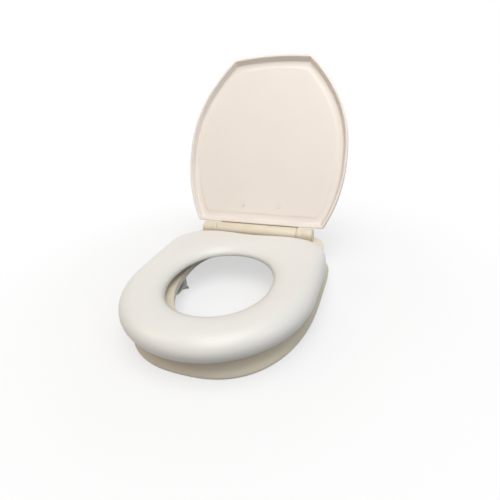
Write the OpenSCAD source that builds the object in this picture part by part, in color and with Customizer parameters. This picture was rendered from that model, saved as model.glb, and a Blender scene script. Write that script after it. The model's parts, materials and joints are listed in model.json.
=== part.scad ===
// Raised toilet seat: a bell-shaped riser with a funnel, a lift-off seat and a hinged lid.
// Millimetres. X is to the sitter's left-right, +Y is the back, +Z is up.
// The origin is on the underside of the rear rest pad, on the middle plane.

/* [Riser] */
// Height of the deck above the plane that the pads rest on
deck_z = 32; // [26:1:60]
// Depth of the lower lip below that plane
lip_drop = 36; // [20:1:50]
// How far the lip stays inside the seat's edge at each side
lip_inset = 10; // [-13:1:12]
// Reach of the lower lip to the front of the riser's centre
lip_front = 250; // [245:1:290]
// Reach of the lower lip to the back of the riser's centre
lip_back = 186; // [184:1:200]
// How far the wall flares out from the rim to the lip at each side
rim_inset = 12; // [6:1:34]
// Reach of the rim to the front
rim_front = 243; // [236:1:246]
// Reach of the rim to the back
rim_back = 178; // [170:1:190]
// Width of the deck at each side
deck_side = 27; // [16:1:34]
// Reach of the funnel's mouth to the front
funnel_front = 216; // [205:1:222]
// Reach of the funnel's mouth to the back
funnel_back = 110; // [108:1:114]
// Half width of the collar at the funnel's foot
collar_half = 109; // [95:1:115]
// Reach of the collar to the front
collar_front = 177; // [160:1:190]
// Reach of the collar to the back
collar_back = 104; // [96:1:106]
// Height of the collar's straight wall
collar_h = 10; // [6:1:14]
// Wall of the riser
riser_wall = 3.5; // [2.5:0.5:4.5]
// How sharply the outer wall flares out towards the lip
flare = 2.2; // [1.2:0.1:2.8]

/* [Base plate] */
// Thickness of the plate that closes the riser's hollow from below
plate_t = 4; // [3:0.5:6]
// Thickness of the rubber rest pads
pad_t = 4; // [3:0.5:6]
// Radius of a rest pad
pad_r = 11; // [8:1:13]
// Radius of the pillars between the plate and the deck
pillar_r = 4; // [4:0.5:6]

/* [Seat] */
// Half width of the seat
seat_half = 192; // [180:1:204]
// Reach of the seat to the front of its opening's centre
seat_front = 200; // [190:1:220]
// Reach of the seat to the back of its opening's centre
seat_back = 206; // [196:1:220]
// Half width of the opening
open_half = 104; // [90:1:108]
// Reach of the opening to the front and to the back
open_reach = 114; // [100:1:118]
// Height of the seat's crown above the deck
crown_h = 25; // [22:1:32]
// Depth of the seat's skirt below the deck
skirt_drop = 20; // [10:1:22]
// Wall of the seat
seat_wall = 3.5; // [2.5:0.5:4.5]
// Width of the rounding on the seat's outer edge
edge_round = 34; // [24:1:36]
// How far the seat's side tucks in below its widest line
tuck = 8; // [0:1:10]
// Width of the rounding on the opening's edge
open_round = 42; // [30:1:44]
// Depth of the hollow in the seat's back edge
scallop = 7; // [0:1:10]
// Radius of the studs under the seat
seat_stud_r = 5; // [4:0.5:6]
// Height of the rubber buffers under the seat
buffer_h = 4; // [3:0.5:6]

/* [Lid] */
// Angle through which the lid opens
lid_open = 117; // [100:1:125]
// Length of the lid from the hinge to its front corners
lid_len = 420; // [416:1:440]
// Half width of the lid where it is widest
lid_half = 200; // [199:1:210]
// Half width of the lid at its hinge end
lid_root = 150; // [146:1:160]
// Half width of the lid between its front corners
lid_corner = 96; // [94:1:120]
// How far the lid's front edge bows out
lid_bow = 6; // [4:1:12]
// Distance from the hinge to where the lid is widest
lid_mid = 184; // [150:1:220]
// Thickness of the lid's panel
lid_t = 3; // [2:0.5:4]
// Depth of the lid's skirt
lid_skirt = 12; // [6:1:14]
// Width of the step around the lid's inner panel
lid_margin = 25; // [15:1:40]
// Height of that step
lid_step = 1; // [0.5:0.25:1.5]
// Radius of the lid's soft buffers
lid_buffer_r = 5; // [4:0.5:9]
// Height of the closed lid's panel above the seat's crown
lid_gap = 4; // [3.5:0.25:6]

/* [Hinge] */
// Radius of the hinge barrel
barrel_r = 15; // [13:0.5:17]
// Half length of the lid's own barrel
barrel_half = 102; // [90:1:104]
// Length of a collar beside the barrel
ring_w = 12; // [8:1:13]
// Length of an outer hinge post
post_w = 24; // [18:1:26]
// Radius of the hinge rod
rod_r = 4; // [3:0.25:5]
// Radius of the bushes in the barrel
bush_r = 9; // [7:0.5:10]
// Length of a bush
bush_len = 24; // [16:1:40]
// Radius of the plugs that close the posts
plug_r = 8; // [6:0.5:9]
// Depth of the plugs
plug_d = 5; // [3:0.5:7]
// Radius of the hinge screws
screw_r = 2.5; // [2:0.25:3]
// Distance between the two screws of a post
screw_gap = 12; // [10:1:14]
// Deck behind the hinge axis
deck_behind = 28; // [26:1:32]

/* [Turn clamps] */
// Distance of each clamp stud from the middle plane
clamp_x = 127; // [126:1:140]
// Distance of the clamp studs in front of the origin
clamp_front = 150; // [120:1:200]
// Radius of a clamp stud
clamp_stud_r = 4; // [3:0.25:5]
// Radius of the boss on a clamp arm
clamp_boss_r = 9; // [7:0.5:10]
// Reach of a clamp arm from its stud
clamp_reach = 42; // [32:1:50]
// Thickness of a clamp arm
clamp_t = 6; // [4:0.5:7]
// Span of a wing nut
wing_span = 26; // [20:1:28]

/* [Hidden] */
$fn = 64;
// Points around each shell
around = 72;
// Gap between faces that only rest on each other or pass each other
rest_gap = 0.3;
// Radial clearance of a running fit
run_gap = 0.05;
// How far a cut goes past the face that it opens
cut = 1;
// Screws and washers
screw_head_r = 4.2;
screw_head_h = 2.5;
screw_bite = 9;
screw_end = 1;
washer_t = 1.2;
// Pillars under the deck
pillar_bore = 12;
pillar_margin = 2.5;
// Seat: room beside a stud, gaps to the deck, lower edge of the opening, gap to the hinge barrel
stud_margin = 1;
bore_gap = 2;
bore_lip = 3;
back_lift = 1;
back_gap = 3;
// Lid: gap to the barrel, saddle on the barrel, turn of the buffers from the middle of the back
lid_set = 2;
saddle_d = 4;
saddle_inset = 2;
buffer_turn = 16;
// Hinge plugs
plug_flange = 2;
plug_inset = 2;
// Turn clamps
nut_h = 7;
nut_wall = 3;
wing_t = 3;
tip_t = 3;
tip_inset = 2;
stud_head = 3;
washer_inset = 1;
clamp_lift = 2;
// Colours as the pieces look
ivory = [0.91, 0.88, 0.82];
white = [0.94, 0.94, 0.93];
grey = [0.45, 0.45, 0.46];
steel = [0.72, 0.73, 0.75];

// Places worked out from the sizes above
hinge_y = barrel_r;
hinge_z = deck_z + barrel_r;
riser_y = hinge_y + deck_behind - rim_back;
plate_top = pad_t + plate_t;
crown_z = deck_z + crown_h;
seat_y = hinge_y - barrel_r - back_gap - seat_back;
ring_end = barrel_half + ring_w;
post_end = ring_end + post_w;
lip_half = seat_half - lip_inset;
rim_half = lip_half - rim_inset;
funnel_half = rim_half - deck_side;

// Distance from the centre to a rounded outline, along the direction a
function reach(a, half, front, back, front_power, back_power) =
    let (n = sin(a) < 0 ? front_power : back_power, b = sin(a) < 0 ? front : back)
    pow(pow(abs(cos(a)) / half, n) + pow(abs(sin(a)) / b, n), -1 / n);
function lip(a) = reach(a, lip_half, lip_front, lip_back, 2.5, 6);
function rim(a) = reach(a, rim_half, rim_front, rim_back, 2.5, 8);
function funnel(a) = reach(a, funnel_half, funnel_front, funnel_back, 2.3, 3);
function collar(a) = reach(a, collar_half, collar_front, collar_back, 2.1, 2.4);
function opening(a) = reach(a, open_half, open_reach, open_reach, 2.1, 2.1);
function dip(a) = scallop * exp(-pow((a - 90) / 17, 2));
function seat(a) = reach(a, seat_half, seat_front, seat_back, 2.05, 4.5) - dip(a);
// Outer face of the riser at a height between the rim and the lip
function wall(a, z) = let (t = max(0, (deck_z - z) / (deck_z + lip_drop)))
    rim(a) + (lip(a) - rim(a)) * pow(t, flare);
function steps(n) = [for (i = [0 : n - 1]) i * 360 / n];
function on_ray(a, r, y, z) = [r * cos(a), y + r * sin(a), z];
// Points of a flat outline at a distance from the riser's centre
function riser_outline(radii) = [for (i = [0 : around - 1])
    let (a = i * 360 / around) [radii[i] * cos(a), riser_y + radii[i] * sin(a)]];

// A closed skin over rings of points, each ring joined to the next and the last to the first
module skin(rings) {
    m = len(rings);
    n = len(rings[0]);
    points = [for (ring = rings, p = ring) p];
    faces = [for (i = [0 : m - 1], j = [0 : n - 1], half = [0, 1])
        let (k = (i + 1) % m, l = (j + 1) % n, a = i * n + j, b = i * n + l, c = k * n + l, d = k * n + j)
        half == 0 ? [a, c, b] : [a, d, c]];
    polyhedron(points, faces);
}

// One ring of the riser: a list of [radius, height] for each direction
function riser_ring(f) = [for (a = steps(around)) let (p = f(a)) on_ray(a, p[0], riser_y, p[1])];
// Rounded bead around the lip, from its underside at t = 0 to its widest line at t = 90
function bead(a, t) = [lip(a) - riser_wall / 2 + (riser_wall / 2 + lip_bead) * sin(t),
    -lip_drop + lip_bead * (1 - cos(t))];
function slope(a, t, lift) = [funnel(a) + (collar(a) - funnel(a)) * t + lift,
    deck_z - edge_step - (deck_z - edge_step - plate_top - collar_h) * t - lift * riser_wall];
// Rounding of the bead on the lip, of the rim's corner, and the short step beside each
lip_bead = 3.5;
corner = 3;
edge_step = 1;
wall_heights = [for (t = [0.12, 0.2, 0.3, 0.45, 0.6, 0.75, 0.88]) -lip_drop + t * (deck_z + lip_drop)];
riser_rings = concat(
    [for (t = [0, 30, 60, 90]) riser_ring(function (a) bead(a, t))],
    [for (z = wall_heights) riser_ring(function (a) [wall(a, z), z])],
    [riser_ring(function (a) [rim(a), deck_z - corner]),
     riser_ring(function (a) [rim(a) - 0.3 * corner, deck_z - 0.3 * corner]),
     riser_ring(function (a) [rim(a) - corner, deck_z]),
     riser_ring(function (a) [funnel(a) + corner, deck_z])],
    [for (t = [0, 0.35, 0.7, 0.92]) riser_ring(function (a) slope(a, t, 0))],
    [riser_ring(function (a) [collar(a), plate_top + collar_h - edge_step]),
     riser_ring(function (a) [collar(a), plate_top]),
     riser_ring(function (a) [collar(a) + riser_wall, plate_top])],
    [for (t = [0.92, 0.7, 0.35, 0])
        riser_ring(function (a) slope(a, t, edge_step) + [riser_wall - edge_step, 0])],
    [riser_ring(function (a) [funnel(a) + corner + riser_wall, deck_z - riser_wall]),
     riser_ring(function (a) [rim(a) - riser_wall - edge_step, deck_z - riser_wall])],
    [for (i = [len(wall_heights) - 1 : -1 : 0])
        riser_ring(function (a) [wall(a, wall_heights[i]) - riser_wall, wall_heights[i]])],
    [riser_ring(function (a) [lip(a) - riser_wall, -lip_drop + edge_step])]);

module riser_shell() {
    color(ivory) difference() {
        skin(riser_rings);
        each_hinge_screw() translate([0, 0, -cut]) cylinder(r = screw_r + rest_gap, h = riser_wall + 2 * cut);
    }
}

// A flat plate between two outlines around the riser's centre
module riser_plate(inner, outer, t) {
    linear_extrude(t) difference() {
        polygon(riser_outline(outer));
        polygon(riser_outline(inner));
    }
}
function riser_point(a, r) = [r * cos(a), riser_y + r * sin(a), 0];
pillar_places = [for (a = [0, 40, 140, 180, 225, 270, 315])
    riser_point(a, rim(a) - riser_wall - pillar_margin - pillar_r)];
pad_places = concat([[0, 0, 0]], [for (a = [35, 145, 215, 325])
    riser_point(a, (collar(a) + wall(a, plate_top)) / 2)]);

module base_plate() {
    color(ivory) difference() {
        translate([0, 0, pad_t]) riser_plate(
            [for (a = steps(around)) collar(a) + rest_gap],
            [for (a = steps(around)) wall(a, plate_top) - riser_wall - rest_gap], plate_t);
        for (p = pillar_places)
            translate(p + [0, 0, pad_t - cut]) cylinder(r = screw_r + rest_gap, h = plate_t + 2 * cut);
        for (side = [-1, 1])
            translate([side * clamp_x, -clamp_front, pad_t - cut])
                cylinder(r = clamp_stud_r + run_gap, h = plate_t + 2 * cut);
    }
}

module support_pillars() {
    color(ivory) for (p = pillar_places)
        translate(p + [0, 0, plate_top]) difference() {
            cylinder(r = pillar_r, h = deck_z - riser_wall - rest_gap - plate_top);
            translate([0, 0, -cut]) cylinder(r = screw_r, h = pillar_bore + cut);
        }
}

module base_screws() {
    color(steel) for (p = pillar_places)
        translate(p + [0, 0, pad_t]) {
            translate([0, 0, -screw_head_h]) cylinder(r = screw_head_r, h = screw_head_h);
            cylinder(r = screw_r - run_gap, h = plate_t + pillar_bore - screw_end);
        }
}

module rest_pads() {
    color(grey) for (p = pad_places) translate(p) cylinder(r = pad_r, h = pad_t);
}

// Lower edge of the seat: it hangs around the rim, and at the back it stays above the deck
function ramp(a) = let (t = min(1, max(0, (65 - abs(a - 90)) / 15))) t * t * (3 - 2 * t);
function seat_low(a) = deck_z - skirt_drop + (skirt_drop + back_lift) * ramp(a);
function seat_side(a) = seat_low(a) + 0.4 * (crown_z - seat_low(a));
function seat_ring(f) = [for (a = steps(around)) let (p = f(a)) on_ray(a, p[0], seat_y, p[1])];
// Rounded outer edge, rounded edge of the opening, both with a skin thickness w taken off
function seat_edge(a, t, w) = [seat(a) - w - (edge_round - w) * (1 - cos(t)),
    seat_side(a) + (crown_z - w - seat_side(a)) * sin(t)];
// Lower half of the side, from its widest line at t = 0 to its foot at t = 1
function seat_tuck(a, t, w) = [seat(a) - w - tuck * t * t, seat_side(a) + (seat_low(a) - seat_side(a)) * t];
function seat_bore(a, t, w) = [opening(a) + w + (open_fit - w) * (1 - cos(t)),
    bore_low + (crown_z - w - bore_low) * sin(t)];
round_steps = [0, 14, 28, 42, 56, 70, 80, 90];
// The opening's rounding leaves room for the studs between it and the outer edge's rounding
open_fit = min(open_round, seat_half - open_half - edge_round - 2 * (seat_stud_r + stud_margin));
bore_foot = deck_z + bore_gap;
bore_low = bore_foot + bore_lip;
seat_rings = concat(
    [for (t = [1, 0.8, 0.6, 0.4, 0.2]) seat_ring(function (a) seat_tuck(a, t, 0))],
    [for (t = round_steps) seat_ring(function (a) seat_edge(a, t, 0))],
    [for (i = [len(round_steps) - 1 : -1 : 0]) seat_ring(function (a) seat_bore(a, round_steps[i], 0))],
    [seat_ring(function (a) [opening(a), bore_foot]),
     seat_ring(function (a) [opening(a) + seat_wall, bore_foot])],
    [for (t = round_steps) seat_ring(function (a) seat_bore(a, t, seat_wall))],
    [for (i = [len(round_steps) - 1 : -1 : 0])
        seat_ring(function (a) seat_edge(a, round_steps[i], seat_wall))],
    [for (t = [0.2, 0.4, 0.6, 0.8, 1]) seat_ring(function (a) seat_tuck(a, t, seat_wall))]);
seat_stud_places = [for (a = [0, 50, 130, 180, 230, 310])
    on_ray(a, seat(a) - edge_round - seat_stud_r - stud_margin, seat_y, 0)];

module seat_shell() {
    color(white) skin(seat_rings);
}

module seat_studs() {
    foot = deck_z + rest_gap + buffer_h;
    color(white) for (p = seat_stud_places)
        translate(p + [0, 0, foot]) cylinder(r = seat_stud_r, h = crown_z - seat_wall - foot);
}

module seat_buffers() {
    color(grey) for (p = seat_stud_places)
        translate(p + [0, 0, deck_z + rest_gap]) cylinder(r = seat_stud_r, h = buffer_h);
}

// The lid, drawn closed with the hinge axis at the origin and its front towards -Y
lid_under = crown_z + lid_gap - hinge_z;
lid_top = lid_under + lid_t;
lid_start = barrel_r + lid_set;
saddle_half = barrel_half - saddle_inset;
lid_heel = (barrel_r - rest_gap + lid_top * cos(lid_open)) / sin(lid_open);
lid_power = 2.27;
function lid_edge(v) = v < lid_mid
    ? lid_half - (lid_half - lid_root) * pow((lid_mid - v) / lid_mid, lid_power)
    : lid_half - (lid_half - lid_corner) * pow((v - lid_mid) / (lid_len - lid_mid), lid_power);
lid_steps = [for (i = [0 : 24]) i / 24];
function lid_side(inset) = [for (t = lid_steps)
    let (v = lid_start + inset + t * (lid_len - lid_start - 2 * inset)) [lid_edge(v) - inset, -v]];
function lid_front(inset) = [for (i = [1 : 9])
    let (x = 1 - i / 5) [(lid_corner - inset) * x, -(lid_len - inset) - lid_bow * (1 - x * x)]];
function mirrored(points) = [for (i = [len(points) - 1 : -1 : 0]) [-points[i][0], points[i][1]]];
function lid_outline(inset) = concat(lid_side(inset), lid_front(inset), mirrored(lid_side(inset)));

module lid_place() {
    translate([0, hinge_y, hinge_z]) rotate([-lid_open, 0, 0]) children();
}

module lid_panel() {
    color(ivory) lid_place() difference() {
        union() {
            translate([0, 0, lid_under]) linear_extrude(lid_t) polygon(lid_outline(0));
            translate([0, 0, lid_under - lid_step]) linear_extrude(lid_step) polygon(lid_outline(lid_margin));
            translate([-saddle_half, -lid_start - lid_t, lid_under - saddle_d])
                cube([2 * saddle_half, lid_start + lid_t + lid_heel, saddle_d + lid_t]);
        }
        translate([-saddle_half - cut, 0, 0]) rotate([0, 90, 0])
            cylinder(r = barrel_r, h = 2 * (saddle_half + cut));
    }
}

module lid_skirt() {
    color(ivory) lid_place() difference() {
        translate([0, 0, lid_under - lid_skirt]) linear_extrude(lid_skirt) difference() {
            polygon(lid_outline(0));
            polygon(lid_outline(lid_t));
        }
        translate([-saddle_half, -lid_start - lid_t - cut, lid_under - lid_skirt - cut])
            cube([2 * saddle_half, lid_t + 2 * cut, lid_skirt + 2 * cut]);
    }
}

// Middle of the seat's flat crown, between its two rounded edges
function crown_mid(a) = (seat(a) - edge_round + opening(a) + open_fit) / 2;

module lid_buffers() {
    color(ivory) lid_place() for (a = [90 - buffer_turn, 90 + buffer_turn])
        let (p = on_ray(a, crown_mid(a), seat_y, 0))
        translate([p[0], p[1] - hinge_y, lid_under - lid_gap + rest_gap])
            cylinder(r = lid_buffer_r, h = lid_gap - lid_step - rest_gap);
}

// A round bar along X from x0, with an optional bore
module bar(x0, len, r, bore = 0) {
    translate([x0, hinge_y, hinge_z]) rotate([0, 90, 0]) difference() {
        cylinder(r = r, h = len);
        if (bore > 0) translate([0, 0, -cut]) cylinder(r = bore, h = len + 2 * cut);
    }
}
// The same piece on the left or on the right
module on_side(side) {
    if (side < 0) mirror([1, 0, 0]) children();
    else children();
}

module lid_barrel() {
    color(ivory) bar(-barrel_half, 2 * barrel_half, barrel_r, bush_r);
}

module hinge_bush(side) {
    color(white) on_side(side) bar(barrel_half - bush_len, bush_len, bush_r, rod_r + run_gap);
}

module hinge_rod() {
    color(steel) bar(-post_end + plug_d, 2 * (post_end - plug_d), rod_r);
}

module hinge_collar(side) {
    color(ivory) on_side(side)
        bar(barrel_half + rest_gap, ring_w - rest_gap, barrel_r, rod_r + run_gap);
}

screw_ys = [for (k = [-1, 1]) hinge_y + k * screw_gap / 2];
screw_x = ring_end + (post_w - plug_d) / 2;
module hinge_post(side) {
    color(ivory) on_side(side) difference() {
        union() {
            bar(ring_end, post_w, barrel_r);
            translate([ring_end, hinge_y - barrel_r, deck_z]) cube([post_w, 2 * barrel_r, barrel_r]);
        }
        bar(ring_end - cut, post_w + 2 * cut, rod_r + run_gap);
        bar(post_end - plug_d, plug_d + cut, plug_r);
        for (y = screw_ys) translate([screw_x, y, deck_z - cut]) cylinder(r = screw_r, h = screw_bite + cut);
    }
}

module hinge_plug(side) {
    color(ivory) on_side(side) {
        bar(post_end - plug_d + rest_gap, plug_d - rest_gap, plug_r - run_gap);
        bar(post_end, plug_flange, barrel_r - plug_inset);
    }
}

deck_under = deck_z - riser_wall;
module each_hinge_screw() {
    for (side = [-1, 1], y = screw_ys) translate([side * screw_x, y, deck_under]) children();
}

module hinge_screws() {
    color(steel) each_hinge_screw() {
        translate([0, 0, -washer_t - screw_head_h]) cylinder(r = screw_head_r, h = screw_head_h);
        translate([0, 0, -washer_t])
            cylinder(r = screw_r - run_gap, h = washer_t + riser_wall + screw_bite - screw_end);
    }
}

module hinge_washers() {
    color(steel) each_hinge_screw() translate([0, 0, -washer_t]) difference() {
        cylinder(r = screw_gap / 2 - rest_gap, h = washer_t);
        translate([0, 0, -cut]) cylinder(r = screw_r + run_gap, h = washer_t + 2 * cut);
    }
}

// Turn clamps: each arm swings out under the inner edge that the riser stands on
nut_z = -lip_drop + clamp_lift;
arm_z = nut_z + nut_h + washer_t + 2 * rest_gap;
module at_clamp(side) {
    translate([side * clamp_x, -clamp_front, 0]) children();
}

module clamp_studs() {
    color(steel) for (side = [-1, 1]) at_clamp(side) {
        translate([0, 0, nut_z]) cylinder(r = clamp_stud_r, h = plate_top - nut_z);
        translate([0, 0, plate_top]) cylinder(r = clamp_stud_r + stud_head, h = stud_head);
    }
}

module clamp_arm(side) {
    color(white) at_clamp(side) difference() {
        union() {
            translate([0, 0, arm_z]) cylinder(r = clamp_boss_r, h = pad_t - rest_gap - arm_z);
            translate([-clamp_boss_r, -clamp_reach + clamp_boss_r, arm_z])
                cube([2 * clamp_boss_r, clamp_reach - clamp_boss_r, clamp_t]);
            translate([0, -clamp_reach + clamp_boss_r, arm_z]) cylinder(r = clamp_boss_r, h = clamp_t);
        }
        translate([0, 0, arm_z - cut]) cylinder(r = clamp_stud_r + run_gap, h = pad_t - arm_z + 2 * cut);
    }
}

module clamp_tip(side) {
    color(grey) at_clamp(side)
        translate([0, -clamp_reach + clamp_boss_r, arm_z + clamp_t])
            cylinder(r = clamp_boss_r - tip_inset, h = tip_t);
}

module clamp_washers() {
    color(steel) for (side = [-1, 1]) at_clamp(side)
        translate([0, 0, nut_z + nut_h + rest_gap]) difference() {
            cylinder(r = clamp_boss_r - washer_inset, h = washer_t);
            translate([0, 0, -cut]) cylinder(r = clamp_stud_r + run_gap, h = washer_t + 2 * cut);
        }
}

module wing_nut(side) {
    color(white) at_clamp(side) translate([0, 0, nut_z]) difference() {
        union() {
            cylinder(r = clamp_stud_r + nut_wall, h = nut_h);
            translate([-wing_span / 2, -wing_t / 2, 0]) cube([wing_span, wing_t, nut_h]);
        }
        translate([0, 0, -cut]) cylinder(r = clamp_stud_r + run_gap, h = nut_h + 2 * cut);
    }
}

riser_shell();
base_plate();
support_pillars();
base_screws();
rest_pads();
seat_shell();
seat_studs();
seat_buffers();
lid_panel();
lid_skirt();
lid_buffers();
lid_barrel();
hinge_bush(-1);  // hinge_bush_left
hinge_bush(1);  // hinge_bush_right
hinge_rod();
hinge_collar(-1);  // hinge_collar_left
hinge_collar(1);  // hinge_collar_right
hinge_post(-1);  // hinge_post_left
hinge_post(1);  // hinge_post_right
hinge_plug(-1);  // hinge_plug_left
hinge_plug(1);  // hinge_plug_right
hinge_screws();
hinge_washers();
clamp_studs();
clamp_arm(-1);  // clamp_arm_left
clamp_arm(1);  // clamp_arm_right
clamp_tip(-1);  // clamp_tip_left
clamp_tip(1);  // clamp_tip_right
clamp_washers();
wing_nut(-1);  // wing_nut_left
wing_nut(1);  // wing_nut_right
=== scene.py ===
# %% [markdown]
# # Raised toilet seat
# A raised toilet seat lifts the sitting height, so that sitting down and getting up take less effort.
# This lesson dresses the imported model: the frame gives every piece at its real size, and the cells
# below give the three big mouldings a smooth skin, and every surface its finish.

# %% Load the frame
import json
from math import cos, exp, hypot, pi, radians, sin
from typing import NamedTuple

import bmesh
import bpy
from mathutils import Matrix, Vector


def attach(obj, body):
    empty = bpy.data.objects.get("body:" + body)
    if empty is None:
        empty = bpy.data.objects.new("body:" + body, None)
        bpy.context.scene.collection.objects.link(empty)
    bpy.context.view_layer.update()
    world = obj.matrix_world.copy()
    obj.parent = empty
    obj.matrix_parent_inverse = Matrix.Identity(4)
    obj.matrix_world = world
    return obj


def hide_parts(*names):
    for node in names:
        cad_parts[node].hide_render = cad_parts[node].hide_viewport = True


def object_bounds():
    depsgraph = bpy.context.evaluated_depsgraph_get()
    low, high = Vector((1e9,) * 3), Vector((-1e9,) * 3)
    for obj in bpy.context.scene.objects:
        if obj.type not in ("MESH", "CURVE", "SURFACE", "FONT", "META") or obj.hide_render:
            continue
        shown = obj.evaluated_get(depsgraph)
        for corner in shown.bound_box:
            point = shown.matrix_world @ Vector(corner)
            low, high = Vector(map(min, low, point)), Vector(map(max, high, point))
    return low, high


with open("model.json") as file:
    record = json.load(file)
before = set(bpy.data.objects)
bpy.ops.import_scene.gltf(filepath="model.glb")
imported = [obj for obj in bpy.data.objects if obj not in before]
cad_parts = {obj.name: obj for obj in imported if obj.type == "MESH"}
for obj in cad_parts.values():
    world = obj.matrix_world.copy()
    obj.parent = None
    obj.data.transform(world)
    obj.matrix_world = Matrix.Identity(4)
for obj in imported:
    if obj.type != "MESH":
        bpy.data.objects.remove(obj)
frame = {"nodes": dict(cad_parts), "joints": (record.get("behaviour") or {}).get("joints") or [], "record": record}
cad_low, cad_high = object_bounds()
MM = 0.001
print("nodes", len(frame["nodes"]), "box", tuple(cad_low), tuple(cad_high))

# %% [markdown]
# ## The camera
# The photograph was taken with a wide lens from the front right, a little above the seat. A camera can
# be aimed with a constraint, but a photograph also has a roll. Here the direction is an azimuth, an
# elevation and a roll, so each can be read and changed.

# %% Camera at the photograph's angle
HINGE = Vector(next(j for j in frame["joints"] if j["name"] == "lid_hinge")["pos_m"])
CAMERA_FROM_HINGE = Vector((0.296, -0.781, 0.390))
AZIMUTH, ELEVATION, ROLL = radians(22.1), radians(27.9), radians(-4.8)
LENS_MM = 26.9
SENSOR_MM = 36


def make_camera():
    back = Vector((sin(AZIMUTH) * cos(ELEVATION), -cos(AZIMUTH) * cos(ELEVATION), sin(ELEVATION)))
    right = Vector((cos(AZIMUTH), sin(AZIMUTH), 0))
    up = back.cross(right)
    right, up = cos(ROLL) * right + sin(ROLL) * up, cos(ROLL) * up - sin(ROLL) * right
    turn = Matrix((right, up, back)).transposed().to_4x4()
    data = bpy.data.cameras.new("photo_camera")
    data.lens = LENS_MM
    data.sensor_width = SENSOR_MM
    camera = bpy.data.objects.new("photo_camera", data)
    camera.matrix_world = Matrix.Translation(HINGE + CAMERA_FROM_HINGE) @ turn
    bpy.context.collection.objects.link(camera)
    bpy.context.scene.camera = camera
    print("camera with a lens of", LENS_MM, "mm")


make_camera()

# %% [markdown]
# ## Shader maths as Python
# A finish is easier to read as a sum than as a web of nodes. The class below wraps one socket: adding
# or multiplying two of them adds the Math node that does it. Every other node comes from `Wire.node`.

# %% A socket that does sums


class Wire:
    """One output in a shader's tree."""

    def __init__(self, tree, socket):
        self.tree, self.socket = tree, socket

    @classmethod
    def node(cls, tree, kind, settings=None, output=0, **sockets):
        """A new node: its settings first, then its sockets by name, or by number after an underscore."""
        made = tree.nodes.new(kind)
        for name, value in (settings or {}).items():
            setattr(made, name, value)
        for name, value in sockets.items():
            target = made.inputs[int(name[1:])] if name[0] == "_" else made.inputs[name.replace("_", " ")]
            plug(tree, target, value)
        return cls(tree, made.outputs[output])

    def sum(self, operation, other, swap=False):
        first, second = (other, self) if swap else (self, other)
        return self.node(self.tree, "ShaderNodeMath", {"operation": operation}, _0=first, _1=second)

    def __add__(self, other):
        return self.sum("ADD", other)

    def __sub__(self, other):
        return self.sum("SUBTRACT", other)

    def __rsub__(self, other):
        return self.sum("SUBTRACT", other, swap=True)

    def __mul__(self, other):
        return self.sum("MULTIPLY", other)

    __radd__, __rmul__ = __add__, __mul__

    def blend(self, low, high):
        """The colour low where this value is 0 and high where it is 1."""
        colours = {"data_type": "RGBA"}
        return self.node(self.tree, "ShaderNodeMix", colours, output=2, _0=self, _6=low, _7=high)


def plug(tree, target, value):
    """Link a wire to a socket, or set the socket to a plain value."""
    if isinstance(value, Wire):
        tree.links.new(value.socket, target)
    else:
        target.default_value = value


print("helpers", Wire.__name__, plug.__name__)

# %% [markdown]
# ## The start of every finish
# Each finish starts from the same few things: a shader with its fixed values, the place on the piece,
# a noise and a bump. Object coordinates are in metres, so a noise scale is a count of cells in a metre,
# and no piece needs its surface unwrapped.

# %% Colours, noise and bump


def linear(red, green, blue):
    """A colour as it is seen on screen, 0 to 255, turned into the numbers that light adds up in."""
    def channel(c):
        c /= 255
        return c / 12.92 if c <= 0.04045 else ((c + 0.055) / 1.055) ** 2.4
    return (channel(red), channel(green), channel(blue), 1)


def finish(name, **fixed):
    """An empty finish: the material, the place on the piece as a wire, and the shader."""
    material = bpy.data.materials.new(name)
    material.use_nodes = True
    tree = material.node_tree
    shader = tree.nodes["Principled BSDF"]
    for socket, value in fixed.items():
        shader.inputs[socket.replace("_", " ")].default_value = value
    return material, Wire.node(tree, "ShaderNodeTexCoord", output="Object"), shader


def noise(place, cells, detail):
    return Wire.node(place.tree, "ShaderNodeTexNoise", Vector=place, Scale=cells, Detail=detail)


def bump(place, height, distance, strength=0.3):
    return Wire.node(place.tree, "ShaderNodeBump", Height=height, Distance=distance, Strength=strength)


def around(middle, wire, spread):
    """A value that swings about its middle as the wire goes from 0 to 1."""
    return middle + spread * (wire - 0.5)


print("half of white on screen is", round(linear(128, 128, 128)[0], 3), "of its light")

# %% [markdown]
# ## The plastics
# The riser and its hinge are a yellowish ivory plastic, the lid a paler one, and the seat a cooler
# white. The riser's deeper, yellower ivory is partly painted shade, and the lid's paler ivory is partly
# painted light. A single colour would look like paint: moulded plastic drifts a little over ten
# centimetres or so, its gloss is uneven where it was polished, and its surface has a faint orange-peel
# grain. One function with two colours and a roughness gives them all.

# %% Ivory and white moulded plastic
SPECK_SHARE = 0.25
GLOSS_SPREAD = 0.10
FINE_GRAIN, COARSE_GRAIN = 0.04 * MM, 0.08 * MM


def moulded_plastic(name, pale, deep, rough, grain=FINE_GRAIN):
    material, place, shader = finish(name, Coat_Weight=0.12, Coat_Roughness=0.22, Specular_IOR_Level=0.45)
    drift = noise(place, cells=9, detail=2)
    speck = noise(place, cells=420, detail=2)
    gloss = noise(place, cells=35, detail=4)
    peel = noise(place, cells=500, detail=1)
    colour = ((1 - SPECK_SHARE) * drift + SPECK_SHARE * speck).blend(linear(*deep), linear(*pale))
    plug(place.tree, shader.inputs["Base Color"], colour)
    plug(place.tree, shader.inputs["Roughness"], around(rough, gloss, GLOSS_SPREAD))
    plug(place.tree, shader.inputs["Normal"], bump(place, peel, grain, strength=0.12))
    return material


# Painted shade and light: the riser's ivory is deepened and yellowed partly as painted shade, and the lid's is
# paled partly as painted light
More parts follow.
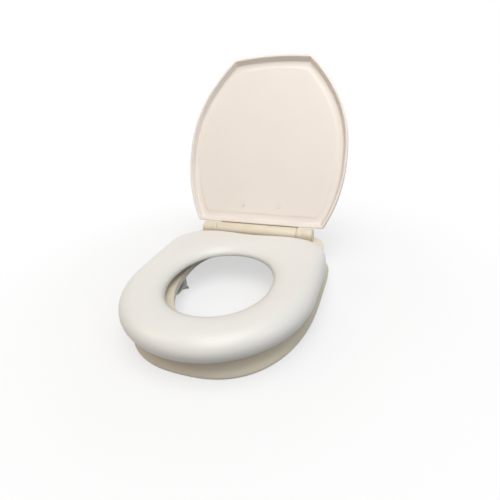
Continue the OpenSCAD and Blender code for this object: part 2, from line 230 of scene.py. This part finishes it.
ivory_plastic = moulded_plastic("ivory_plastic", (230, 219, 198), (222, 210, 188), 0.36)
lid_plastic = moulded_plastic("lid_plastic", (241, 232, 224), (235, 225, 215), 0.36)
seat_plastic = moulded_plastic("seat_plastic", (237, 234, 229), (231, 228, 222), 0.30)
fitting_plastic = moulded_plastic("fitting_plastic", (235, 235, 230), (222, 222, 216), 0.5, COARSE_GRAIN)
ivory_rubber = moulded_plastic("ivory_rubber", (239, 230, 221), (232, 222, 211), 0.6, COARSE_GRAIN)
print("plastics", ivory_plastic.name, lid_plastic.name, seat_plastic.name)

# %% [markdown]
# ## Rubber and steel
# The pads and tips are a dull grey rubber, dusty in patches, and the screws, rod and clamps are steel
# with a thin zinc plating. One noise drives both colour and roughness, because a dusty or smeared patch
# differs in both at once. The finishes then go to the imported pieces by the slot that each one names.

# %% Rubber, zinc-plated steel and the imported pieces


def grey_rubber_finish():
    material, place, shader = finish("grey_rubber", Specular_IOR_Level=0.3)
    dust = noise(place, cells=60, detail=5)
    grit = noise(place, cells=700, detail=3)
    plug(place.tree, shader.inputs["Base Color"], dust.blend(linear(120, 120, 122), linear(150, 149, 148)))
    plug(place.tree, shader.inputs["Roughness"], around(0.72, dust, 0.15))
    plug(place.tree, shader.inputs["Normal"], bump(place, grit, 0.1 * MM))
    return material


def zinc_steel_finish():
    material, place, shader = finish("zinc_steel", Metallic=1.0)
    smear = noise(place, cells=80, detail=4)
    plating = noise(place, cells=500, detail=3)
    plug(place.tree, shader.inputs["Base Color"], smear.blend(linear(178, 180, 182), linear(212, 213, 214)))
    plug(place.tree, shader.inputs["Roughness"], around(0.35, smear, 0.18))
    plug(place.tree, shader.inputs["Normal"], bump(place, plating, 0.03 * MM))
    return material


finishes = {
    "ivory_plastic": ivory_plastic,
    "seat_plastic": seat_plastic,
    "fitting_plastic": fitting_plastic,
    "ivory_rubber": ivory_rubber,
    "grey_rubber": grey_rubber_finish(),
    "steel": zinc_steel_finish(),
}
for part in frame["record"]["subparts"]:
    mesh = frame["nodes"][part["node"]].data
    mesh.materials.clear()
    mesh.materials.append(finishes[part["material_slot"]])
print("finishes", sorted(finishes))

# %% [markdown]
# ## Softer edges on the small pieces
# A moulded piece has no knife edges: each catches a thin line of light, and where two pieces meet end
# to end, their eased edges make a fine groove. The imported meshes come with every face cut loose, so a
# weld modifier joins them first, and a bevel modifier then eases the edges. Both leave the meshes alone.

# %% Eased edges
EASED_MM = {"lid_barrel": 1.2, "hinge_collar_": 1.2, "hinge_post_": 1.2, "hinge_plug_": 1.0,
            "clamp_arm_": 0.8, "wing_nut_": 0.6, "lid_buffers": 1.5, "rest_pads": 0.8}
WELD_MM = 0.01
BEVEL_STEPS = 3
EASED_FROM = radians(40)


def ease_edges(piece, width):
    joined = piece.modifiers.new("joined_faces", "WELD")
    joined.merge_threshold = WELD_MM * MM
    eased = piece.modifiers.new("eased_edges", "BEVEL")
    eased.width = width * MM
    eased.segments = BEVEL_STEPS
    eased.limit_method = "ANGLE"
    eased.angle_limit = EASED_FROM
    eased.harden_normals = True


for name, piece in frame["nodes"].items():
    for start, width in EASED_MM.items():
        if name.startswith(start):
            ease_edges(piece, width)
            print("eased", name, "by", width, "mm")

# %% [markdown]
# ## One outline for every ring
# The riser and the seat are rings whose outline is rounder at the front and squarer at the back. One
# formula gives the distance from a centre to such an outline in any direction, and a moulding is then
# a stack of these outlines. Points on a formula stay smooth at any count, which boxes with a
# subdivision modifier would not.

# %% Outlines
AROUND = 240
ANGLES = [i * 360 / AROUND for i in range(AROUND)]


class Outline(NamedTuple):
    """A rounded outline in millimetres about a centre. The higher its power, the squarer an end is."""
    half: float
    front: float
    back: float
    front_power: float
    back_power: float

    def __call__(self, angle):
        c, s = abs(cos(radians(angle))), sin(radians(angle))
        power, length = (self.front_power, self.front) if s < 0 else (self.back_power, self.back)
        return ((c / self.half) ** power + (abs(s) / length) ** power) ** (-1 / power)


def ring_at(centre_y, radius_and_height):
    """The points of one ring, from a function that gives radius and height in each direction."""
    ring = []
    for a in ANGLES:
        r, z = radius_and_height(a)
        ring.append((r * cos(radians(a)), centre_y + r * sin(radians(a)), z))
    return ring


print("rings of", AROUND, "points")

# %% [markdown]
# ## From rings to a piece
# A skin over rings of points can be made with Blender's bridge tool, but the faces between two rings
# follow a simple count, so they are written down here. A loop of rings gives a wall with an inside and
# an outside. A row of rings with its ends capped gives a solid. The finished mesh then stands in for
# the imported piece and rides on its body.

# %% Skins
SHARP_FROM = 50


def face_outward(mesh, sharp=SHARP_FROM):
    """Turn every face outward and shade it smooth, with a crisp line where it bends by more than sharp."""
    shape = bmesh.new()
    shape.from_mesh(mesh)
    bmesh.ops.recalc_face_normals(shape, faces=shape.faces)
    shape.to_mesh(mesh)
    shape.free()
    mesh.shade_smooth()
    mesh.set_sharp_from_angle(angle=radians(sharp))


def skin_mesh(name, rings, capped=False):
    """A mesh over rings of points in millimetres: closed into a loop, or capped at both ends."""
    count = len(rings[0])
    points = [Vector(p) * MM for ring in rings for p in ring]
    last = len(rings) - 1 if capped else len(rings)
    faces = []
    for i in range(last):
        a, b = i * count, (i + 1) % len(rings) * count
        faces += [(a + j, a + (j + 1) % count, b + (j + 1) % count, b + j) for j in range(count)]
    if capped:
        faces.append(tuple(reversed(range(count))))
        faces.append(tuple(range(last * count, len(points))))
    mesh = bpy.data.meshes.new(name)
    mesh.from_pydata(points, [], faces)
    face_outward(mesh)
    return mesh


def dress(name, mesh, body, slot, material, *nodes):
    """A piece in place of CAD nodes, riding on their body and with that finish. The slot is not used."""
    piece = bpy.data.objects.new(name, mesh)
    bpy.context.collection.objects.link(piece)
    mesh.materials.append(material)
    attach(piece, body)
    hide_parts(*nodes)
    print(name, len(mesh.polygons), "faces")


print("edges stay crisp from", SHARP_FROM, "degrees")

# %% [markdown]
# ## The riser
# The riser is a bell: its wall flares out to a beaded lip at its foot, and its deck runs down into a
# funnel with a short straight collar. It could be one surface with a solidify modifier, but the lip
# and the collar need shapes of their own inside. So the whole wall, outside and inside, is one closed
# loop of rings, and it has a real thickness from every side.

# %% Sizes of the riser
# Heights in millimetres above the underside of the rest pads
DECK = 32
DECK_CORNER = 3
LIP_DROP = 36
LIP_ROLL = 6
LIP_BLEND = 19
BEAD = 3.5
FLARE = 2.2
RISER_WALL = 3.5
RISER_Y = -135
PLATE_TOP = 8
COLLAR_H = 10
COLLAR_EDGE = 1.5
COLLAR_TOP = PLATE_TOP + COLLAR_H
FUNNEL_EVEN = 0.45
FUNNEL_LEAN = 0.7
INNER_CORNER = 1
lip = Outline(half=182, front=250, back=186, front_power=2.5, back_power=6)
rim = Outline(half=170, front=243, back=178, front_power=2.5, back_power=8)
funnel = Outline(half=143, front=216, back=110, front_power=2.3, back_power=3)
collar = Outline(half=109, front=177, back=104, front_power=2.1, back_power=2.4)


def wall(a, z):
    """The outer face at a height, from the rim at the deck to the lip at the foot."""
    return rim(a) + (lip(a) - rim(a)) * max(0, (DECK - z) / (DECK + LIP_DROP)) ** FLARE


print("riser", 2 * (lip.half + BEAD), "mm wide,", DECK + LIP_DROP, "mm high")

# %% Curves of the riser
QUARTER = pi / 2


def ease(t):
    """From 0 to 1 with a soft start and a soft end."""
    return t * t * (3 - 2 * t)


def riser_ring(radius_and_height):
    return ring_at(RISER_Y, radius_and_height)


def lip_roll(t):
    """The bead's round, from its lowest line out to its widest."""
    out = RISER_WALL / 2
    z = -LIP_DROP + LIP_ROLL * (1 - cos(t))
    return riser_ring(lambda a: (lip(a) - out + (out + BEAD) * sin(t), z))


def lip_hollow(t):
    """The soft hollow above the bead, where it runs into the wall."""
    z = -LIP_DROP + LIP_ROLL + t * (LIP_BLEND - LIP_ROLL)
    left = 1 - ease(t)
    return riser_ring(lambda a: (wall(a, z) + (BEAD + lip(a) - wall(a, LIP_ROLL - LIP_DROP)) * left, z))


def deck_corner(t):
    """The rounded corner from the wall to the deck."""
    z = DECK - DECK_CORNER * (1 - sin(t))
    return riser_ring(lambda a: (rim(a) - DECK_CORNER * (1 - cos(t)), z))


def funnel_slope(t, drop):
    """The deck's slope, from the funnel's edge down to the collar, or its underside, lower by drop."""
    z = DECK - (DECK - COLLAR_TOP) * (FUNNEL_EVEN * t + (1 - FUNNEL_EVEN) * ease(t)) - drop
    return riser_ring(lambda a: (funnel(a) + (collar(a) - funnel(a)) * t + FUNNEL_LEAN * drop, z))


print("bead out to", round(max(p[0] for p in lip_roll(QUARTER)), 1), "mm from the middle")

# %% Riser


def shares(count):
    """Even steps from 0 to 1."""
    return [i / count for i in range(count + 1)]


def riser_rings():
    low, high = LIP_BLEND - LIP_DROP, DECK - DECK_CORNER
    inner_high, inner_fall = high - RISER_WALL, DECK + LIP_DROP - 2 * LIP_ROLL
    outside = [low + t * (high - low) for t in shares(12)]
    inside = [inner_high - t * inner_fall for t in shares(8)]
    rings = [lip_roll(t * QUARTER) for t in shares(8)]
    rings += [lip_hollow(t) for t in shares(8)[1:-1]]
    rings += [riser_ring(lambda a, z=z: (wall(a, z), z)) for z in outside]
    rings += [deck_corner(t * QUARTER) for t in shares(4)[1:]]
    rings += [funnel_slope(t, 0) for t in shares(12)]
    rings.append(riser_ring(lambda a: (collar(a), COLLAR_TOP - COLLAR_EDGE)))
    rings.append(riser_ring(lambda a: (collar(a), PLATE_TOP)))
    rings.append(riser_ring(lambda a: (collar(a) + RISER_WALL, PLATE_TOP)))
    rings += [funnel_slope(1 - t, RISER_WALL) for t in shares(6)]
    rings.append(riser_ring(lambda a: (rim(a) - RISER_WALL - INNER_CORNER, DECK - RISER_WALL)))
    rings += [riser_ring(lambda a, z=z: (wall(a, z) - RISER_WALL, z)) for z in inside]
    return rings


dress("riser", skin_mesh("riser", riser_rings()), "riser", "ivory_plastic", ivory_plastic, "riser_shell")

# %% [markdown]
# ## The seat
# The seat is a thick ring, rounded on the outside and falling away softly into its opening. Its back
# edge has a shallow hollow between two round corners. Underneath it is open: the skirt hangs around
# the riser's rim and rises at the back, where the seat stands on the deck. A coarse cage under a
# subdivision modifier would be quicker to draw, but its curves would drift from the sizes. Here each
# is a quarter of an ellipse, drawn once for the skin and once, a wall further in, for the inside.

# %% Sizes of the seat
# Heights as for the riser, and turns in degrees
SEAT_Y = -209
CROWN = 57
SEAT_WALL = 3.5
EDGE_ROUND = 34
OPEN_ROUND = 42
WIDEST_SHARE = 0.4
SKIRT_DROP = 20
SKIRT_RISES_AT, SKIRT_RISES_OVER = 65, 15
BACK_LIFT = 1
TUCK = 8
BACK = 90
SCALLOP, SCALLOP_SPREAD = 7, 17
BORE_LOW = DECK + 5
BORE_FOOT = DECK + 2
seat_outline = Outline(half=192, front=200, back=206, front_power=2.05, back_power=4.5)
opening = Outline(half=104, front=114, back=114, front_power=2.1, back_power=2.1)


def seat(a):
    """The seat's outline with the hollow in its back edge."""
    return seat_outline(a) - SCALLOP * exp(-((a - BACK) / SCALLOP_SPREAD) ** 2)


def seat_low(a):
    """The height of the skirt's lower edge."""
    rise = ease(min(1, max(0, (SKIRT_RISES_AT - abs(a - BACK)) / SKIRT_RISES_OVER)))
    return DECK - SKIRT_DROP + (SKIRT_DROP + BACK_LIFT) * rise


def seat_side(a):
    """The height at which the seat is widest."""
    return seat_low(a) + WIDEST_SHARE * (CROWN - seat_low(a))


print("seat", 2 * seat_outline.half, "mm wide, opening", 2 * opening.half, "mm")

# %% Curves of the seat


def seat_ring(radius_and_height):
    return ring_at(SEAT_Y, radius_and_height)


def seat_edge(t, inset):
    """The outer round, from the widest line up to the crown."""
    return seat_ring(lambda a: (seat(a) - inset - (EDGE_ROUND - inset) * (1 - cos(t)),
                                seat_side(a) + (CROWN - inset - seat_side(a)) * sin(t)))


def seat_bore(t, inset):
    """The round of the opening, from its lowest line up to the crown."""
    return seat_ring(lambda a: (opening(a) + inset + (OPEN_ROUND - inset) * (1 - cos(t)),
                                BORE_LOW + (CROWN - inset - BORE_LOW) * sin(t)))


def seat_tuck(t, inset):
    """The lower side, which tucks in from the widest line to the skirt's edge."""
    return seat_ring(lambda a: (seat(a) - inset - TUCK * t * t,
                                seat_side(a) + (seat_low(a) - seat_side(a)) * t))


def skirt_foot(t):
    """The rounded lower edge of the skirt."""
    round_r = SEAT_WALL / 2
    return seat_ring(lambda a: (seat(a) - TUCK - round_r * (1 - sin(t)),
                                seat_low(a) + round_r * (1 - cos(t))))


def bore_foot(t):
    """The rounded lower edge of the opening."""
    round_r = SEAT_WALL / 2
    return seat_ring(lambda a: (opening(a) + round_r * (1 - cos(t)),
                                BORE_FOOT + round_r * (1 - sin(t))))


print("crown at", round(max(p[2] for p in seat_edge(QUARTER, 0)), 1), "mm")

# %% Seat


def seat_rings():
    turns = [t * QUARTER for t in shares(16)]
    down = shares(10)[1:-1]
    rings = [skirt_foot(t) for t in (-QUARTER / 2, 0, QUARTER / 2)]
    rings += [seat_tuck(t, 0) for t in reversed(down)]
    rings += [seat_edge(t, 0) for t in turns]
    rings += [seat_bore(t, 0) for t in reversed(turns)]
    rings += [bore_foot(t) for t in (0, QUARTER / 2, QUARTER, 3 * QUARTER / 2)]
    rings += [seat_bore(t, SEAT_WALL) for t in turns[::2]]
    rings += [seat_edge(t, SEAT_WALL) for t in reversed(turns[::2])]
    rings += [seat_tuck(t, SEAT_WALL) for t in down[1::2]]
    return rings


dress("seat_ring", skin_mesh("seat_ring", seat_rings()), "seat", "seat_plastic", seat_plastic, "seat_shell")

# %% [markdown]
# ## The lid
# The lid is a shallow dish: a panel with a low skirt around it, widest in its middle, with a nearly
# straight front edge between two corners. It is drawn closed, flat over the seat, with its hinge at
# the origin, and then turned up to the angle it rests at. A bevel on a flat plate would round every
# edge alike, while insetting one outline step by step gives each its own shape: the rolled edge, the
# slanting skirt and the raised panel inside.

# %% Edge of the lid
# Lengths in millimetres from the axis of the hinge
LID_LEN = 420
LID_HALF = 200
LID_ROOT = 150
LID_CORNER = 96
LID_BOW = 6
LID_MID = 184
LID_POWER = 2.27
INSET_ROUNDS = 6


def lid_end(v):
    """The lid's half width at the end that v lies towards, and the length from the widest line to it."""
    return (LID_ROOT, LID_MID) if v < LID_MID else (LID_CORNER, LID_LEN - LID_MID)


def lid_edge(v):
    """Half the lid's width at a distance from the hinge."""
    half, length = lid_end(v)
    return LID_HALF - (LID_HALF - half) * (abs(v - LID_MID) / length) ** LID_POWER


def lid_slope(v):
    """How much wider the lid gets for each step away from the hinge."""
    half, length = lid_end(v)
    steep = (LID_HALF - half) * LID_POWER / length * (abs(v - LID_MID) / length) ** (LID_POWER - 1)
    return steep if v < LID_MID else -steep


def lid_side(v, inset):
    """The edge's distance from the middle at v, once the edge has moved in square to itself."""
    foot = v
    for _ in range(INSET_ROUNDS):
        slope = lid_slope(foot)
        foot = v - inset * slope / hypot(1, slope)
    return lid_edge(foot) - inset / hypot(1, lid_slope(foot))


print("lid", 2 * LID_HALF, "mm wide, its front edge", 2 * lid_edge(LID_LEN), "mm")

# %% Outline of the lid
LID_OPEN = 117
BARREL_R = 15
BARREL_GAP = 2
LID_START = BARREL_R + BARREL_GAP
LID_ROUND = 5
TO_OPEN = Matrix.Translation(HINGE / MM) @ Matrix.Rotation(radians(-LID_OPEN), 4, "X")


def soft_corner(before, corner, after):
    """Points on a curve from before to after that turns towards the corner."""
    return [before * (1 - t) ** 2 + corner * 2 * t * (1 - t) + after * t * t for t in shares(6)]


def lid_outline(inset, soft):
    """The lid's edge seen from above, from the hinge end's right corner, moved in and with soft corners."""
    start, end = LID_START + inset, LID_LEN - inset
    half = lid_side(end, inset)
    straight = end - start - 2 * soft

    def side(v):
        return Vector((lid_side(v, inset), -v))

    def front(x):
        return Vector((x, -end - LID_BOW * (1 - (x / half) ** 2)))

    right = soft_corner(side(start) - Vector((soft, 0)), side(start), side(start + soft))
    right += [side(start + soft + t * straight) for t in shares(90)[1:-1]]
    right += soft_corner(side(end - soft), side(end), front(half - soft))
    middle = [front((half - soft) * (1 - 2 * t)) for t in shares(40)[1:-1]]
    left = [Vector((-p.x, p.y)) for p in reversed(right)]
    return right + middle + left


def lid_ring(inset, h, soft=LID_ROUND):
    return [TO_OPEN @ Vector((p.x, p.y, h)) for p in lid_outline(inset, soft)]


print("lid outline of", len(lid_outline(0, LID_ROUND)), "points, open by", LID_OPEN, "degrees")

# %% Dish of the lid
# Heights in millimetres above the axis of the hinge, while the lid lies flat
LID_T = 3
LID_SKIRT = 12
LID_UNDER = 14
LID_TOP = LID_UNDER + LID_T
LID_ROLL = 3.5
TOP_INSET = 14
RIM_LOW = LID_UNDER - LID_SKIRT
RIM_WIDTH = 5
RIM_EASE = 1.2
RIM_ROUND = 2
SKIRT_DRAFT = 4.5
SKIRT_FILLET = 4
PANEL_INSET = 25
PANEL_ROUND = 10
# The step around the raised panel, as how far across and how far out each of its lines lies
PANEL_STEP = ((-2, 0), (-1, 0.3), (0, 1), (4, 1))


def rim_ring(inset, t, soft):
    """One line on the eased lower edge of the skirt."""
    return lid_ring(inset, RIM_LOW + RIM_EASE * (1 - cos(t)), soft)


def fillet_ring(t):
    """One line on the fillet between the slanting skirt and the panel."""
    inset = RIM_WIDTH + SKIRT_DRAFT + SKIRT_FILLET * (1 - cos(t))
    return lid_ring(inset, LID_UNDER - SKIRT_FILLET * (1 - sin(t)), RIM_ROUND)


def lid_rings():
    """The panel and its skirt, from the top around the edge to the raised panel in the dish."""
    turns = [t * QUARTER for t in shares(6)]
    rings = [lid_ring(TOP_INSET, LID_TOP)]
    rings += [lid_ring(LID_ROLL * (1 - sin(t)), LID_TOP - LID_ROLL * (1 - cos(t))) for t in turns]
    rings += [rim_ring(RIM_EASE * (1 - sin(t)), t, LID_ROUND) for t in reversed(turns[::2])]
    rings += [rim_ring(RIM_WIDTH - RIM_EASE * (1 - sin(t)), t, RIM_ROUND) for t in turns[::2]]
    rings += [fillet_ring(t) for t in turns]
    rings += [lid_ring(PANEL_INSET + across, LID_UNDER - rise, PANEL_ROUND) for across, rise in PANEL_STEP]
    return rings


print("lid dish of", len(lid_rings()), "rings")

# %% Lid
SADDLE_HALF = 100
SADDLE_D = 4
SADDLE_SINK = 0.3
SADDLE_CORNER = 1
SADDLE_ARC_FROM, SADDLE_ARC_TO = 138, 62
LID_SHARP_FROM = 40


def saddle_rings():
    """The web that joins the panel to its barrel, as two ends of one outline across the hinge."""
    heel = (BARREL_R - SADDLE_SINK + LID_TOP * cos(radians(LID_OPEN))) / sin(radians(LID_OPEN))
    low, front = LID_UNDER - SADDLE_D, -LID_START - LID_T
    turns = [radians(SADDLE_ARC_FROM + t * (SADDLE_ARC_TO - SADDLE_ARC_FROM)) for t in shares(24)]
    arc = [(BARREL_R * cos(a), BARREL_R * sin(a)) for a in turns]
    outline = [(front, LID_TOP), (front, low), (-BARREL_R + SADDLE_CORNER, low)]
    outline += [p for p in arc if p[1] >= low]
    outline.append((heel, max(low, arc[-1][1])))
    outline += [(heel, LID_TOP - SADDLE_CORNER), (heel - SADDLE_CORNER, LID_TOP)]
    return [[TO_OPEN @ Vector((x, y, z)) for y, z in outline] for x in (-SADDLE_HALF, SADDLE_HALF)]


def lid_mesh():
    panel = skin_mesh("lid_dish", list(reversed(lid_rings())), capped=True)
    web = skin_mesh("lid_web", saddle_rings(), capped=True)
    points, faces = [], []
    for mesh in (panel, web):
        first = len(points)
        points += [v.co.copy() for v in mesh.vertices]
        faces += [tuple(first + i for i in p.vertices) for p in mesh.polygons]
    both = bpy.data.meshes.new("lid")
    both.from_pydata(points, [], faces)
    face_outward(both, LID_SHARP_FROM)
    return both


dress("lid", lid_mesh(), "lid", "ivory_plastic", lid_plastic, "lid_panel", "lid_skirt")

# %% [markdown]
# ## The floor
# The object stands on a white floor in a white room. A bright floor would light the object from below,
# so what a ray sees depends on where it comes from. Rays from the camera, straight or by way of a
# mirror, see plain white far from the object. All other rays see a dark floor that sends little light
# back up, so the lower edges fall into shade. Near the object the floor is matt and keeps the shadow.

# %% Floor
FLOOR_HALF = 6
FLOOR_SEEN = (0.9, 0.9, 0.9, 1)
FLOOR_BOUNCE = (0.22, 0.21, 0.2, 1)
NEAR, FAR = 0.2, 0.7
WHITE_NEAR, WHITE_FAR = 0.6, 1.0


def seen_directly(tree):
    """1 for rays from the camera and for rays that a mirror or a glass sends on, otherwise 0."""
    camera, mirror, glass = (Wire.node(tree, "ShaderNodeLightPath", output=name)
                             for name in ("Is Camera Ray", "Is Glossy Ray", "Is Transmission Ray"))
    return camera.sum("MAXIMUM", mirror).sum("MAXIMUM", glass)


def floor_finish():
    material, place, shader = finish("white_floor", Roughness=0.9, Specular_IOR_Level=0.1)
    tree = place.tree
    seen = seen_directly(tree)
    plug(tree, shader.inputs["Base Color"], seen.blend(FLOOR_BOUNCE, FLOOR_SEEN))
    distance = Wire.node(tree, "ShaderNodeVectorMath", {"operation": "LENGTH"}, output=1, _0=place)
    whiteness = Wire.node(tree, "ShaderNodeMapRange", {"interpolation_type": "SMOOTHSTEP"},
                          _0=distance, _1=NEAR, _2=FAR, _3=WHITE_NEAR, _4=WHITE_FAR)
    matt, white = Wire(tree, shader.outputs[0]), Wire.node(tree, "ShaderNodeEmission")
    both = Wire.node(tree, "ShaderNodeMixShader", _0=whiteness * seen, _1=matt, _2=white)
    plug(tree, tree.nodes["Material Output"].inputs["Surface"], both)
    return material


def make_floor():
    corners = [(x * FLOOR_HALF, y * FLOOR_HALF, 0) for x, y in ((-1, -1), (1, -1), (1, 1), (-1, 1))]
    mesh = bpy.data.meshes.new("white_floor")
    mesh.from_pydata(corners, [], [(0, 1, 2, 3)])
    mesh.materials.append(floor_finish())
    floor = bpy.data.objects.new("white_floor", mesh)
    floor.location = ((cad_low.x + cad_high.x) / 2, (cad_low.y + cad_high.y) / 2, cad_low.z)
    bpy.context.collection.objects.link(floor)
    print("floor at", round(cad_low.z / MM, 1), "mm")


make_floor()

# %% [markdown]
# ## The light
# A wide lamp above and one in front, with a weaker one at each side, light the object as a bright room
# would: a warm one on the left and a cool one on the right, as in the photograph. A narrow beam from low
# in front reaches the inside of the lid's skirt, which the high lamps miss. A low lamp behind fills in
# the lid's back. It stays out of reflections, because a lamp across from the camera would burn white
# streaks into every level surface.

# %% Lamps
ROOM_LIGHT = 0.16
SEAT_CENTRE = Vector((0, -0.15, 0.1))
LID_CENTRE = Vector((0, 0.12, 0.32))
WHITE, WARM, COOL = (1, 1, 1), (1, 0.78, 0.55), (0.82, 0.94, 1)


def lamp(name, place, size, power, colour=WHITE, mirrored=True, target=SEAT_CENTRE, spread=180):
    """A square lamp that shines on a target, with its side in metres and its power in watts."""
    data = bpy.data.lights.new(name, "AREA")
    data.size = size
    data.energy = power
    data.color = colour
    data.spread = radians(spread)
    made = bpy.data.objects.new(name, data)
    made.location = place
    made.visible_camera = False
    made.visible_glossy = mirrored
    made.rotation_mode = "QUATERNION"
    made.rotation_quaternion = (target - Vector(place)).to_track_quat("-Z", "Y")
    bpy.context.collection.objects.link(made)
    print(name, power, "W")


def light_room():
    """A white room that lights the object only a little."""
    world = bpy.data.worlds.new("room")
    bpy.context.scene.world = world
    world.use_nodes = True
    tree = world.node_tree
    background = tree.nodes["Background"]
    background.inputs["Color"].default_value = (*WHITE, 1)
    plug(tree, background.inputs["Strength"], seen_directly(tree) * (1 - ROOM_LIGHT) + ROOM_LIGHT)


light_room()
lamp("ceiling_lamp", (0.2, -0.5, 2.2), size=1.6, power=23)
lamp("front_lamp", (0.5, -1.7, 2.1), size=1.5, power=18)
lamp("lid_lamp", (0.2, -1.6, 0.55), size=0.6, power=0.15, mirrored=False, target=LID_CENTRE, spread=32)
lamp("window_left", (-1.8, -1.0, 1.7), size=1.2, power=9, colour=WARM)
lamp("window_behind", (-0.3, 2.2, 0.5), size=1.2, power=22, mirrored=False)
lamp("window_right", (1.9, -0.6, 1.6), size=1.2, power=9, colour=COOL)
bpy.context.scene.view_settings.view_transform = "Standard"
